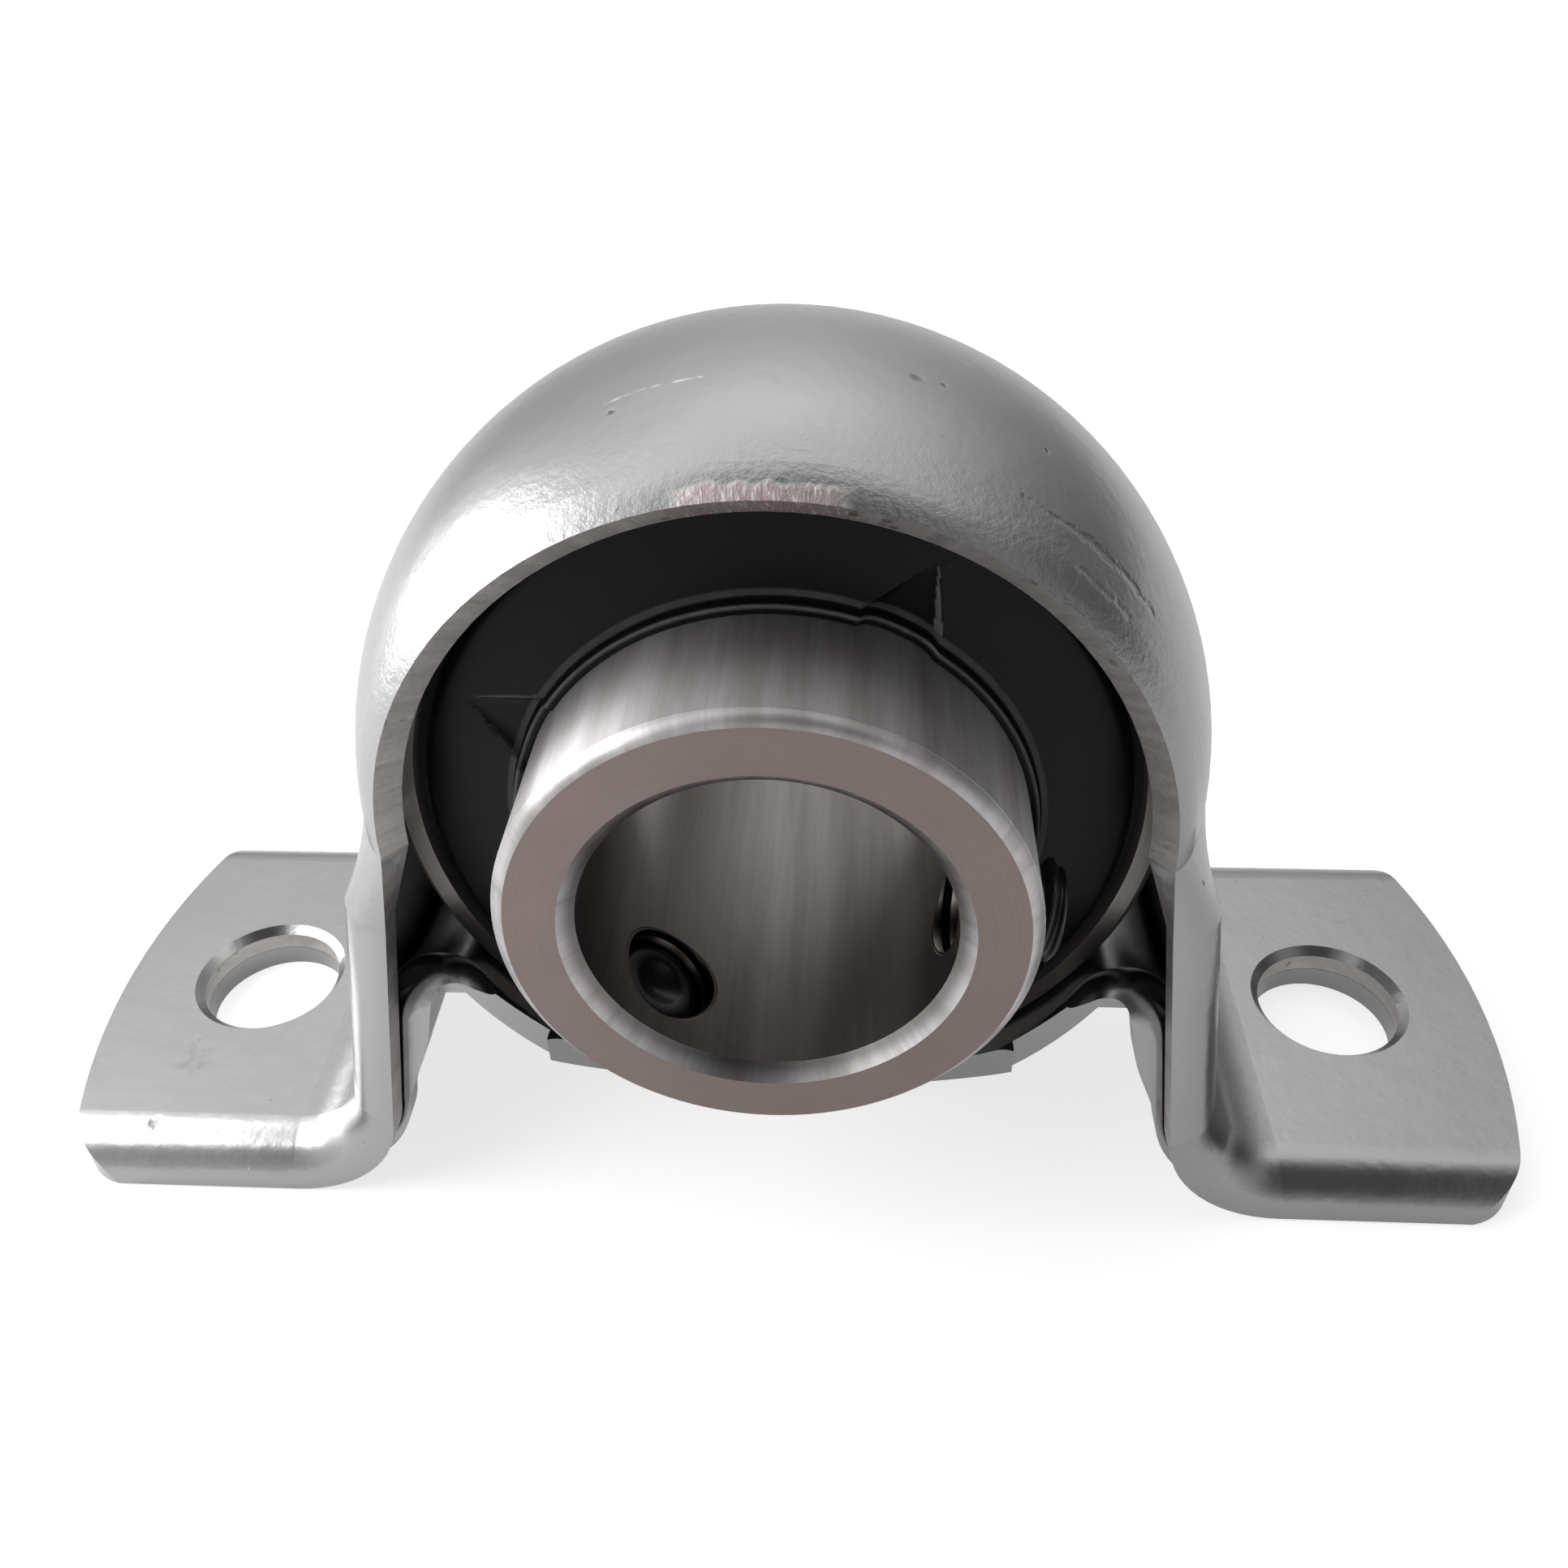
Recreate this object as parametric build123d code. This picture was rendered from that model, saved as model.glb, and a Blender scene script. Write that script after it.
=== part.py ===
"""Pressed-steel pillow block bearing for a 20 mm shaft, in millimetres.

X runs along the base, Y along the shaft with the long side of the inner ring at -Y, and Z up.
The origin is on the base plane, at the centre of the two foot holes.
"""
import math
import os

from build123d import *

# Inner ring and ball set
BORE_R = 10.0
INNER_RING_R = 14.3
INNER_RING_FRONT = 18.3
INNER_RING_REAR = 12.7
INNER_RING_CHAMFER = 0.7
BORE_CHAMFER = 0.85
BALL_COUNT = 8
BALL_R = 3.969
BALL_PLAY = 0.04
RACE_RATIO = 1.04
FIRST_BALL_ANGLE = 90.0

# Ball cage, pressed in two halves and riveted
CAGE_SHEET = 0.6
CAGE_CLEARANCE = 0.95
CAGE_POCKET_CLEARANCE = 0.12
CAGE_HALF_GAP = 0.02
RIVET_R = 0.55
RIVET_HEAD_R = 0.95
RIVET_HEAD_T = 0.35

# Outer ring, with a stepped seat for a seal on each side
LAND_GAP = 4.9
SEAL_SEAT_STEP = 1.75
SEAL_CAGE_GAP = 0.311
SEAL_SEAT_DEPTH = 2.5
OUTER_RING_R = 23.5
OUTER_RING_CHAMFER = 0.45

# Seals
SEAL_SHEET = 0.6
SEAL_DISH = 0.45
SEAL_RIM_CLEARANCE = 0.02
SEAL_LIP_WIDTH = 1.4
SEAL_LIP_DEPTH = 1.1
SEAL_LIP_CLEARANCE = 0.05
SEAL_LIP_TAPER = 0.3

# Slingers, pressed onto the inner ring just outside the outer ring's faces
SLINGER_SHEET = 0.5
SLINGER_FIT = 0.02
SLINGER_SIDE_GAP = 0.75
SLINGER_RIM_PROUD = 0.25
SLINGER_HUB_PROUD = 1.15
SLINGER_COLLAR = 0.8
SLINGER_RIM_DEPTH = 0.9
SLINGER_BEND_R = 0.35

# Set screws
SCREW_R = 3.0
SCREW_CLEARANCE = 0.05
SCREW_LENGTH = 5.0
SCREW_PROUD = 1.5
SCREW_FROM_FRONT = 5.4
SCREW_ANGLES = (-128.5, -8.5)
SCREW_SOCKET_AF = 3.0
SCREW_SOCKET_DEPTH = 2.4
SCREW_CHAMFER = 0.45
SCREW_CUP_R = 1.5
SCREW_CUP_DEPTH = 0.7

# Pressed housing, two nested sheets
STRAP_SHEET = 1.8
CRADLE_SHEET = 1.6
SEAT_PLAY = 0.05
SEAT_FLOOR_GAP = 0.25
NEST_GAP = 0.03
FOOT_HALF_LENGTH = 48.3
FOOT_HALF_WIDTH = 16.0
FOOT_END_R = 45.0
FOOT_CORNER_R = 4.0
HOLE_SPACING = 76.0
HOLE_R = 4.75
HOLE_ROLL = 0.55

# Upper strap: its edge curls in around the dome and turns in by a right angle on the walls
LIP_START_ANGLE = 24.6
LIP_END_ANGLE = 48.0
LIP_CURL_R = 5.0
WALL_LEAN = 5.8
WALL_INSET = 0.25
WALL_EDGE_R = 3.35
WALL_EDGE_ANGLE = 88.0
WALL_UPPER_DROP = 4.5
WALL_UPPER_TAPER = 3.0
FOOT_BEND_R = 4.5
CROWN_R = 4000.0

# Lower cradle: a W-shaped strip with a ball seat pressed into its middle
CRADLE_SIDE_GAP = 0.3
CRADLE_END_GAP = 0.4
CRADLE_TAPER = 13.4
HUMP_R = 3.6
RIDGE_R = 2.0
LEG_FLANGE = 1.7
# Free edge of the cradle's flange from the seat over the hump to the leg, as X and Z from the hump's centre
FLANGE_EDGE = ((-6.9, 2.4), (-5.0, 3.9), (-3.4, 5.3), (-2.0, 6.3), (-0.9, 6.3), (-0.3, 5.2), (0.1, 2.9))
# Trimmed edge of the seat seen from above: X from the hump's centre, and how far inside the cradle's side
WAIST_EDGE = ((-5.9, 0.9), (-8.5, 3.4))
WAIST_MIDDLE = 6.3

# Sizes that follow from the ones above
OUTER_LAND_R = INNER_RING_R + LAND_GAP
BALL_PITCH_R = (INNER_RING_R + OUTER_LAND_R) / 2
SEAL_SEAT_R = OUTER_LAND_R + SEAL_SEAT_STEP
SEAL_SEAT_Y = BALL_R + CAGE_POCKET_CLEARANCE + CAGE_SHEET + SEAL_CAGE_GAP
OUTER_RING_HALF = SEAL_SEAT_Y + SEAL_SEAT_DEPTH
SEAT_R = OUTER_RING_R + SEAT_PLAY
SHAFT_HEIGHT = SEAT_R + CRADLE_SHEET + SEAT_FLOOR_GAP
DOME_R = SEAT_R + STRAP_SHEET
FOOT_TOP = CRADLE_SHEET + NEST_GAP + STRAP_SHEET

# Lengths that only have to be long enough to cut through
BEYOND = 2.5 * DOME_R
BELOW = DOME_R / 4


def at_axis(shape):
    """Move a shape built about the origin so that its Y axis is the bearing axis."""
    return Pos(0, 0, SHAFT_HEIGHT) * shape


def turned(points):
    """Revolve a profile, given as (radius, y) points, about the Y axis."""
    face = make_face(Polyline(*[(r, y) for r, y in points], close=True))
    return revolve(face, Axis.Y)


def polar(radius, degrees):
    """X and Z of a point at an angle around the bearing axis, measured from +X towards +Z."""
    angle = math.radians(degrees)
    return radius * math.cos(angle), radius * math.sin(angle)


def race_torus():
    """Ring-shaped groove cutters for the inner and outer raceways."""
    groove_r = RACE_RATIO * BALL_R
    spare = groove_r - BALL_R - BALL_PLAY
    inner = Torus(BALL_PITCH_R + spare, groove_r, align=None)
    outer = Torus(BALL_PITCH_R - spare, groove_r, align=None)
    return Rot(90, 0, 0) * inner, Rot(90, 0, 0) * outer


def screw_axis(degrees):
    """Location on the bearing axis whose Z points along a set screw."""
    y = -INNER_RING_FRONT + SCREW_FROM_FRONT
    return Pos(0, y, 0) * Rot(0, 90 - degrees, 0)


def make_inner_ring():
    front, rear = -INNER_RING_FRONT, INNER_RING_REAR
    edge, mouth = INNER_RING_CHAMFER, BORE_CHAMFER
    ring = turned([
        (BORE_R, front + mouth), (BORE_R + mouth, front),
        (INNER_RING_R - edge, front), (INNER_RING_R, front + edge),
        (INNER_RING_R, rear - edge), (INNER_RING_R - edge, rear),
        (BORE_R + mouth, rear), (BORE_R, rear - mouth),
    ])
    ring -= race_torus()[0]
    for degrees in SCREW_ANGLES:
        hole = Cylinder(SCREW_R, INNER_RING_R + 1, align=(Align.CENTER, Align.CENTER, Align.MIN))
        ring -= screw_axis(degrees) * hole
    return at_axis(ring)


def make_outer_ring():
    half = OUTER_RING_HALF
    edge = OUTER_RING_CHAMFER
    side_r = math.sqrt(OUTER_RING_R ** 2 - (half - edge) ** 2)
    corners = [
        (side_r, half - edge), (side_r - edge, half),
        (SEAL_SEAT_R, half), (SEAL_SEAT_R, SEAL_SEAT_Y), (OUTER_LAND_R, SEAL_SEAT_Y),
        (OUTER_LAND_R, -SEAL_SEAT_Y), (SEAL_SEAT_R, -SEAL_SEAT_Y), (SEAL_SEAT_R, -half),
        (side_r - edge, -half), (side_r, edge - half),
    ]
    outside = ThreePointArc(corners[-1], (OUTER_RING_R, 0), corners[0])
    ring = revolve(make_face([Polyline(*corners), outside]), Axis.Y)
    ring -= race_torus()[1]
    return at_axis(ring)


def ball_angle(index):
    return FIRST_BALL_ANGLE + index * 360.0 / BALL_COUNT


def make_ball(index):
    x, z = polar(BALL_PITCH_R, ball_angle(index))
    return at_axis(Pos(x, 0, z) * Sphere(BALL_R))


def make_cage_half(side):
    """One pressed half of the cage: side is -1 at the front and 1 at the rear."""
    inside_r = BALL_R + CAGE_POCKET_CLEARANCE
    band_in, band_out = INNER_RING_R + CAGE_CLEARANCE, OUTER_LAND_R - CAGE_CLEARANCE
    low, high = CAGE_HALF_GAP / 2, CAGE_HALF_GAP / 2 + CAGE_SHEET
    reach = 2 * inside_r
    half = turned([(band_in, low), (band_out, low), (band_out, high), (band_in, high)])
    zone = turned([(band_in, low), (band_out, low), (band_out, reach), (band_in, reach)])
    pockets = []
    for index in range(BALL_COUNT):
        x, z = polar(BALL_PITCH_R, ball_angle(index))
        pockets.append(Pos(x, 0, z))
    for place in pockets:
        half += zone & (place * Sphere(inside_r + CAGE_SHEET))
    for place in pockets:
        half -= place * Sphere(inside_r)
    for index in range(BALL_COUNT):
        x, z = polar(BALL_PITCH_R, ball_angle(index + 0.5))
        half -= Pos(x, 0, z) * Rot(90, 0, 0) * Cylinder(RIVET_R, 4 * CAGE_SHEET)
    if side < 0:
        half = mirror(half, Plane.XZ)
    return at_axis(half)


def make_cage_rivets():
    """Rivets between the pockets, one solid each."""
    face = CAGE_HALF_GAP / 2 + CAGE_SHEET
    rivets = []
    for index in range(BALL_COUNT):
        x, z = polar(BALL_PITCH_R, ball_angle(index + 0.5))
        shank = Cylinder(RIVET_R, 2 * face)
        head = Cone(RIVET_HEAD_R, RIVET_R, RIVET_HEAD_T, align=(Align.CENTER, Align.CENTER, Align.MIN))
        rivet = shank + Pos(0, 0, face) * head + Pos(0, 0, -face) * Rot(180, 0, 0) * head
        rivets.append(at_axis(Pos(x, 0, z) * Rot(90, 0, 0) * rivet))
    return Compound(children=rivets)


def make_seal(side):
    """Steel-backed lip seal held in the outer ring: side is -1 at the front and 1 at the rear."""
    seat, sheet = SEAL_SEAT_Y, SEAL_SHEET
    rim = SEAL_SEAT_R - SEAL_RIM_CLEARANCE
    lip_r = INNER_RING_R + SEAL_LIP_CLEARANCE
    lip_end = lip_r + SEAL_LIP_WIDTH
    dish = seat + SEAL_DISH
    dish_r = OUTER_LAND_R - 2 * SEAL_DISH
    points = [
        (rim, seat), (rim, seat + 2 * sheet), (rim - sheet, seat + 2 * sheet), (rim - sheet, seat + sheet),
        (OUTER_LAND_R, seat + sheet), (dish_r, dish + sheet),
        (lip_end, dish + sheet), (lip_r + SEAL_LIP_TAPER, dish + SEAL_LIP_DEPTH),
        (lip_r, dish + SEAL_LIP_DEPTH), (lip_r, dish + SEAL_LIP_DEPTH / 2),
        (lip_end - SEAL_LIP_TAPER, dish), (dish_r, dish), (OUTER_LAND_R, seat),
    ]
    return at_axis(turned([(r, side * y) for r, y in points]))


def make_slinger(side):
    """Pressed slinger gripping the inner ring: side is -1 at the front and 1 at the rear."""
    sheet = SLINGER_SHEET
    grip = INNER_RING_R + SLINGER_FIT
    hub = grip + sheet
    outer = SEAL_SEAT_R - SLINGER_SIDE_GAP
    hub_y = OUTER_RING_HALF + SLINGER_HUB_PROUD
    rim_y = OUTER_RING_HALF + SLINGER_RIM_PROUD
    points = [
        (grip, hub_y - 2 * sheet), (grip, hub_y + SLINGER_COLLAR), (hub, hub_y + SLINGER_COLLAR),
        (hub, hub_y + SLINGER_BEND_R), (hub + SLINGER_BEND_R, hub_y),
        (outer - sheet, rim_y), (outer, rim_y - sheet), (outer, rim_y - SLINGER_RIM_DEPTH),
        (outer - sheet, rim_y - SLINGER_RIM_DEPTH), (outer - sheet, rim_y - sheet),
        (hub + SLINGER_BEND_R, hub_y - sheet), (hub, hub_y - 2 * sheet),
    ]
    return at_axis(turned([(r, side * y) for r, y in points]))


def make_set_screw(degrees):
    """Cup-point socket set screw, its socket facing outwards."""
    radius = SCREW_R - SCREW_CLEARANCE
    body = Cylinder(radius, SCREW_LENGTH, align=(Align.CENTER, Align.CENTER, Align.MAX))
    body = chamfer(body.edges().filter_by(GeomType.CIRCLE), SCREW_CHAMFER)
    socket_r = SCREW_SOCKET_AF / math.sqrt(3)
    body -= extrude(RegularPolygon(socket_r, 6), -SCREW_SOCKET_DEPTH)
    cup = Cone(SCREW_CUP_R, 0.2, SCREW_CUP_DEPTH, align=(Align.CENTER, Align.CENTER, Align.MIN))
    body -= Pos(0, 0, -SCREW_LENGTH) * cup
    return at_axis(screw_axis(degrees) * Pos(0, 0, INNER_RING_R + SCREW_PROUD) * body)


def arc_about(centre, radius, start, end):
    """Arc about a centre between two angles measured from the local +Y towards +X."""
    def point(angle):
        turn = math.radians(angle)
        return centre[0] + radius * math.sin(turn), centre[1] + radius * math.cos(turn)
    return ThreePointArc(point(start), point((start + end) / 2), point(end))


def sheet_section(plane, crown_r, edge_start, edge_r, edge_end, sheet):
    """Cross-section of bent sheet: a crown with an edge turned down on each side.

    The crown is an arc as far as edge_start degrees, and the edge turns on to edge_end degrees.
    The plane's origin is on the outer face, its X across the strip and its Y outwards.
    """
    middle = (0, -crown_r)
    start = math.radians(edge_start)
    reach = crown_r - edge_r
    corners = [(sign * reach * math.sin(start), middle[1] + reach * math.cos(start)) for sign in (1, -1)]
    edges = []
    for crown, edge in ((crown_r, edge_r), (crown_r - sheet, edge_r - sheet)):
        edges.append([
            arc_about(corners[1], edge, -edge_end, -edge_start),
            arc_about(middle, crown, -edge_start, edge_start),
            arc_about(corners[0], edge, edge_start, edge_end),
        ])
    outer, inner = edges
    cuts = [Line(outer[0] @ 0, inner[0] @ 0), Line(outer[2] @ 1, inner[2] @ 1)]
    return plane * make_face(outer + inner + cuts)


def edge_start_for(half_width):
    """Angle at which a wall's crown ends, so that its turned edge reaches the half width."""
    return math.degrees(math.asin((half_width - WALL_EDGE_R) / (CROWN_R - WALL_EDGE_R)))


def wall_x(z):
    """X of the strap wall's outer face at a height, at the turned edge."""
    return DOME_R - WALL_INSET + (SHAFT_HEIGHT - z) * math.tan(math.radians(WALL_LEAN))


def bend_axis():
    """X and Z of the axis that the wall bends around to become the foot."""
    lean = math.radians(WALL_LEAN)
    z = FOOT_TOP + FOOT_BEND_R
    start_z = z - FOOT_BEND_R * math.sin(lean)
    return wall_x(start_z) + FOOT_BEND_R * math.cos(lean), z


def strap_side():
    """Right half of the strap below the dome: wall, bend and foot."""
    lean = math.radians(WALL_LEAN)
    axis_x, axis_z = bend_axis()
    level = Plane(origin=(DOME_R, 0, SHAFT_HEIGHT), x_dir=(0, 1, 0), z_dir=(0, 0, -1))
    down = (math.sin(lean), 0, -math.cos(lean))
    upper_z = SHAFT_HEIGHT - WALL_UPPER_DROP
    upper = Plane(origin=(wall_x(upper_z), 0, upper_z), x_dir=(0, 1, 0), z_dir=down)
    start_x = axis_x - FOOT_BEND_R * math.cos(lean)
    start_z = axis_z - FOOT_BEND_R * math.sin(lean)
    lower = Plane(origin=(start_x, 0, start_z), x_dir=(0, 1, 0), z_dir=down)
    lip = sheet_section(level, DOME_R, LIP_START_ANGLE, LIP_CURL_R, LIP_END_ANGLE, STRAP_SHEET)
    shoulder = sheet_section(upper, CROWN_R, edge_start_for(FOOT_HALF_WIDTH - WALL_UPPER_TAPER),
                             WALL_EDGE_R, WALL_EDGE_ANGLE, STRAP_SHEET)
    ankle = sheet_section(lower, CROWN_R, edge_start_for(FOOT_HALF_WIDTH), WALL_EDGE_R,
                          WALL_EDGE_ANGLE, STRAP_SHEET)
    wall = loft([lip, shoulder]) + loft([shoulder, ankle])
    bend_by = 90 - WALL_LEAN
    bend = revolve(ankle, Axis((axis_x, 0, axis_z), (0, -1, 0)), bend_by)
    toe = Pos(axis_x, 0, axis_z) * Rot(0, -bend_by, 0) * Pos(-axis_x, 0, -axis_z) * ankle
    foot = extrude(toe, FOOT_HALF_LENGTH, dir=(1, 0, 0))
    return wall + bend + foot


def foot_plan(inset):
    """Column with the outline of the foot, seen from above, made smaller by an inset."""
    end_r = FOOT_END_R - inset
    half = FOOT_HALF_WIDTH + 0.1
    centre = FOOT_HALF_LENGTH - FOOT_END_R
    reach = centre + math.sqrt(end_r ** 2 - half ** 2)
    tip = centre + end_r
    ends = [ThreePointArc((sign * reach, -half), (sign * tip, 0), (sign * reach, half)) for sign in (1, -1)]
    sides = [Line((-reach, y), (reach, y)) for y in (-half, half)]
    outline = make_face(ends + sides)
    outline = fillet(outline.vertices(), FOOT_CORNER_R)
    return Pos(0, 0, -BELOW) * extrude(outline, BEYOND)


def foot_holes():
    return [Pos(sign * HOLE_SPACING / 2, 0, 0) * Cylinder(HOLE_R, 4 * FOOT_TOP) for sign in (1, -1)]


def hole_roll():
    """Cutters for the bevel that the punch leaves round the top of the foot holes."""
    cone = Cone(HOLE_R, HOLE_R + 2 * HOLE_ROLL, 2 * HOLE_ROLL)
    return [Pos(sign * HOLE_SPACING / 2, 0, FOOT_TOP) * cone for sign in (1, -1)]


def make_upper_housing():
    level = Plane(origin=(DOME_R, 0, SHAFT_HEIGHT), x_dir=(0, 1, 0), z_dir=(0, 0, -1))
    lip = sheet_section(level, DOME_R, LIP_START_ANGLE, LIP_CURL_R, LIP_END_ANGLE, STRAP_SHEET)
    dome = revolve(lip, Axis((0, 0, SHAFT_HEIGHT), (0, -1, 0)), 180)
    side = strap_side()
    housing = dome + side + mirror(side, Plane.YZ)
    housing &= foot_plan(0)
    for cutter in foot_holes() + hole_roll():
        housing -= cutter
    return housing


def both_sides(shape):
    """A shape on the right, and its mirror image on the left."""
    return [shape, mirror(shape, Plane.YZ)]


def cradle_half_width():
    """Half width of the cradle's leg at the height of the bend's axis, so that it fits in the strap."""
    return FOOT_HALF_WIDTH - STRAP_SHEET - CRADLE_SIDE_GAP


def hump_spine():
    """Radius of the hump's ring-shaped top, and the distance of its plane from the bearing centre."""
    wall_distance = (DOME_R - WALL_INSET) * math.cos(math.radians(WALL_LEAN))
    distance = wall_distance - STRAP_SHEET - NEST_GAP - HUMP_R
    return math.sqrt((SEAT_R + HUMP_R) ** 2 - distance ** 2), distance


def hump_centre():
    """X and Z of the centre of the hump's curve in the middle of the cradle."""
    spine_r, distance = hump_spine()
    lean = math.radians(WALL_LEAN)
    x = distance * math.cos(lean) + spine_r * math.sin(lean)
    z = SHAFT_HEIGHT + distance * math.sin(lean) - spine_r * math.cos(lean)
    return x, z


def block(inset):
    """Leaning block that the cradle is pressed over, its faces moved inwards by an inset."""
    lean, taper = math.radians(WALL_LEAN), math.radians(CRADLE_TAPER)
    axis_z = bend_axis()[1]
    floor = -BELOW - inset
    top = SHAFT_HEIGHT

    def wall(z):
        return wall_x(z) - (STRAP_SHEET + NEST_GAP + inset) / math.cos(lean)

    def front(z):
        return cradle_half_width() - (z - axis_z) * math.tan(taper) - inset / math.cos(taper)

    across = [(-wall(floor), floor), (wall(floor), floor), (wall(top), top), (-wall(top), top)]
    along = [(-front(floor), floor), (front(floor), floor), (front(top), top), (-front(top), top)]
    walls = extrude(Plane.XZ * make_face(Polyline(*across, close=True)), BEYOND, both=True)
    return walls & extrude(Plane.YZ * make_face(Polyline(*along, close=True)), BEYOND, both=True)


def hump_relief(inset):
    """Cutter above the right hump: its rounded face touches both the seat and the leg."""
    spine_r, distance = hump_spine()
    beyond = distance + 2 * HUMP_R
    hump_r = HUMP_R - inset
    # Angle of the hump's arc in the profile, from the seat's side to the leg's side
    seat_side, leg_side = math.atan2(-distance, -spine_r) + math.tau, math.pi / 2

    def hump_point(angle):
        return spine_r + hump_r * math.cos(angle), distance + hump_r * math.sin(angle)

    arc = ThreePointArc(hump_point(seat_side), hump_point((seat_side + leg_side) / 2), hump_point(leg_side))
    rest = Polyline(arc @ 1, (spine_r, beyond), (0, beyond), (0, 0), arc @ 0)
    # Half a turn puts the seam of the turned face at the top, away from the sheet
    relief = Rot(0, 0, 180) * revolve(Plane.XZ * make_face([arc, rest]), Axis.Z)
    return at_axis(Rot(0, 90 - WALL_LEAN, 0) * relief)


def cradle_envelope(inset):
    """Cradle as a solid lump with legs, humps and spherical seat, moved in by an inset."""
    lump = block(inset) - at_axis(Sphere(SEAT_R + inset))
    for cutter in both_sides(hump_relief(inset)):
        lump -= cutter
    return lump


def ridge_edges(lump):
    """Edges where the front and rear faces of the lump meet its top and walls."""
    chosen = []
    for edge in lump.edges():
        box = edge.bounding_box()
        meets_middle = box.min.Y < CRADLE_SHEET and box.max.Y > -CRADLE_SHEET
        if not meets_middle and box.max.Z > 0:
            chosen.append(edge)
    return ShapeList(chosen)


def leg_edge():
    """X and Z of the free edge of the leg's flange at the start of the bend."""
    lean = math.radians(WALL_LEAN)
    axis_x, axis_z = bend_axis()
    reach = FOOT_BEND_R + STRAP_SHEET + NEST_GAP + LEG_FLANGE
    return axis_x - reach * math.cos(lean), axis_z - reach * math.sin(lean)


def flange_window():
    """Cutter below the free edge of the front and rear flanges, on the right."""
    lean, taper = math.radians(WALL_LEAN), math.radians(CRADLE_TAPER)
    centre_x, centre_z = hump_centre()
    leg_x, leg_z = leg_edge()
    points = [(centre_x + x, centre_z + z) for x, z in FLANGE_EDGE] + [(leg_x, leg_z - CRADLE_SHEET)]
    first = points[0]
    free_edge = Spline(*points, tangents=((1, 1), (math.sin(lean), -math.cos(lean))))
    below = make_face([
        free_edge, Line(points[-1], (leg_x, -BELOW)),
        Line((leg_x, -BELOW), (first[0], -BELOW)), Line((first[0], -BELOW), first),
    ])
    rise = SHAFT_HEIGHT / 2 - bend_axis()[1]
    inner_y = cradle_half_width() - rise * math.tan(taper) - 1.15 * CRADLE_SHEET
    return extrude(Plane.XZ * below, BEYOND, both=True) - Box(BEYOND * 2, 2 * inner_y, BEYOND * 2)


def waist():
    """Cutters in front of and behind the seat, with its trimmed edge as their outline."""
    centre_x, half = hump_centre()[0], cradle_half_width()
    right = [(centre_x + x, inside - half) for x, inside in WAIST_EDGE]
    left = [(-x, y) for x, y in right]
    edge = Spline(*left, (0, WAIST_MIDDLE - half), *reversed(right))
    outline = make_face([edge, Polyline(right[0], (right[0][0], -BEYOND), (left[0][0], -BEYOND), left[0])])
    front = Pos(0, 0, -BELOW) * extrude(outline, BELOW + SHAFT_HEIGHT)
    return [front, mirror(front, Plane.XZ)]


def is_ankle(face):
    """Whether a face is the right leg's cross-section at the start of the bend."""
    if face.geom_type != GeomType.PLANE:
        return False
    normal, centre = face.normal_at(), face.center()
    lean = math.radians(WALL_LEAN)
    along = normal.X * math.sin(lean) - normal.Z * math.cos(lean)
    return abs(along) > 0.999 and centre.X > leg_edge()[0] and centre.Z > CRADLE_SHEET


def make_lower_housing():
    axis_x, axis_z = bend_axis()
    to_axis = Pos(axis_x, 0, axis_z)
    cradle = fillet(ridge_edges(cradle_envelope(0)), RIDGE_R) - cradle_envelope(CRADLE_SHEET)
    # Everything on the legs that is past the start of the bend
    past_bend = to_axis * Rot(0, -WALL_LEAN, 0) * Pos(-BEYOND / 2, 0, -BEYOND / 2) * Box(BEYOND, BEYOND, BEYOND)
    past_bend &= Pos(BEYOND / 2 + leg_edge()[0] - CRADLE_SHEET, 0, 0) * Box(BEYOND, BEYOND, BEYOND)
    for cutter in both_sides(flange_window()) + both_sides(past_bend) + waist():
        cradle -= cutter
    ankle = [face for face in cradle.faces() if is_ankle(face)][0]
    bend_by = 90 - WALL_LEAN
    bend = revolve(ankle, Axis((axis_x, 0, axis_z), (0, -1, 0)), bend_by)
    toe = to_axis * Rot(0, -bend_by, 0) * Pos(-axis_x, 0, -axis_z) * ankle
    side = bend + extrude(toe, FOOT_HALF_LENGTH, dir=(1, 0, 0))
    for piece in both_sides(side):
        cradle += piece
    cradle &= foot_plan(CRADLE_END_GAP)
    cradle &= Pos(0, 0, BEYOND / 2) * Box(4 * BEYOND, 4 * BEYOND, BEYOND)
    for cutter in foot_holes():
        cradle -= cutter
    return cradle


nodes = {
    "upper_housing": make_upper_housing(),
    "lower_housing": make_lower_housing(),
    "outer_ring": make_outer_ring(),
    "inner_ring": make_inner_ring(),
    "cage_front": make_cage_half(-1),
    "cage_rear": make_cage_half(1),
    "cage_rivets": make_cage_rivets(),
    "front_seal": make_seal(-1),
    "rear_seal": make_seal(1),
    "front_slinger": make_slinger(-1),
    "rear_slinger": make_slinger(1),
}
for number in range(BALL_COUNT):
    nodes[f"ball_{number + 1}"] = make_ball(number)
for number, screw_angle in enumerate(SCREW_ANGLES):
    nodes[f"set_screw_{number + 1}"] = make_set_screw(screw_angle)

os.makedirs("parts", exist_ok=True)
for name, shape in nodes.items():
    export_step(shape, f"parts/{name}.step")
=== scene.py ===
import math

import bmesh
import bpy
from mathutils import Matrix, Vector


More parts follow.
